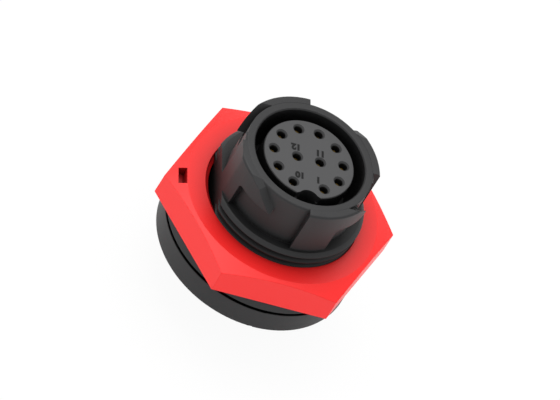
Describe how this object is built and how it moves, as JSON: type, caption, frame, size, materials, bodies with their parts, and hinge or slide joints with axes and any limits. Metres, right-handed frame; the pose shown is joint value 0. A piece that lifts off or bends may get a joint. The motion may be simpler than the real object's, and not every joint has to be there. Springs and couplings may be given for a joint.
{
  "type": "quick-lock circular panel receptacle",
  "caption": "Round panel receptacle with a socket insert, a lugged quick-lock cup, a threaded barrel with an anti-turn flat, a rear flange with gasket and a hexagonal panel nut.",
  "frame": {"origin": "on the connector's axis, in the plane of the panel gasket's front face, where the rear of the panel seats", "axes": "+Z along the connector's axis towards the mating face; +X towards the flat on the threaded barrel; +Y towards the keyway of the contact insert"},
  "size_m": [0.03, 0.026, 0.025],
  "materials": {
    "shell_nylon": "moulded glass-filled nylon, semi-matte",
    "nut_nylon": "moulded nylon, satin to gloss",
    "gasket_rubber": "moulded rubber, matte",
    "insert_nylon": "moulded nylon, fine matte",
    "seal_rubber": "moulded rubber",
    "seal_silicone": "moulded silicone, soft sheen",
    "contact_plating": "turned, thin gold plating"
  },
  "bodies": {
    "receptacle": {"shell": "shell_nylon", "panel_gasket": "gasket_rubber", "front_insert": "insert_nylon", "insert_oring": "seal_rubber", "contact_seal": "seal_silicone", "rear_insert": "insert_nylon", "retaining_ring": "shell_nylon", "contact_01": "contact_plating", "contact_02": "contact_plating", "contact_03": "contact_plating", "contact_04": "contact_plating", "contact_05": "contact_plating", "contact_06": "contact_plating", "contact_07": "contact_plating", "contact_08": "contact_plating", "contact_09": "contact_plating", "contact_10": "contact_plating", "contact_11": "contact_plating", "contact_12": "contact_plating"},
    "nut": {"hex_nut": "nut_nylon"}
  },
  "joints": [
    {"name": "nut_turn", "type": "hinge", "parent": "receptacle", "child": "nut", "pos_m": [0, 0, 0], "axis": [0, 0, 1], "continuous": true}
  ]
}
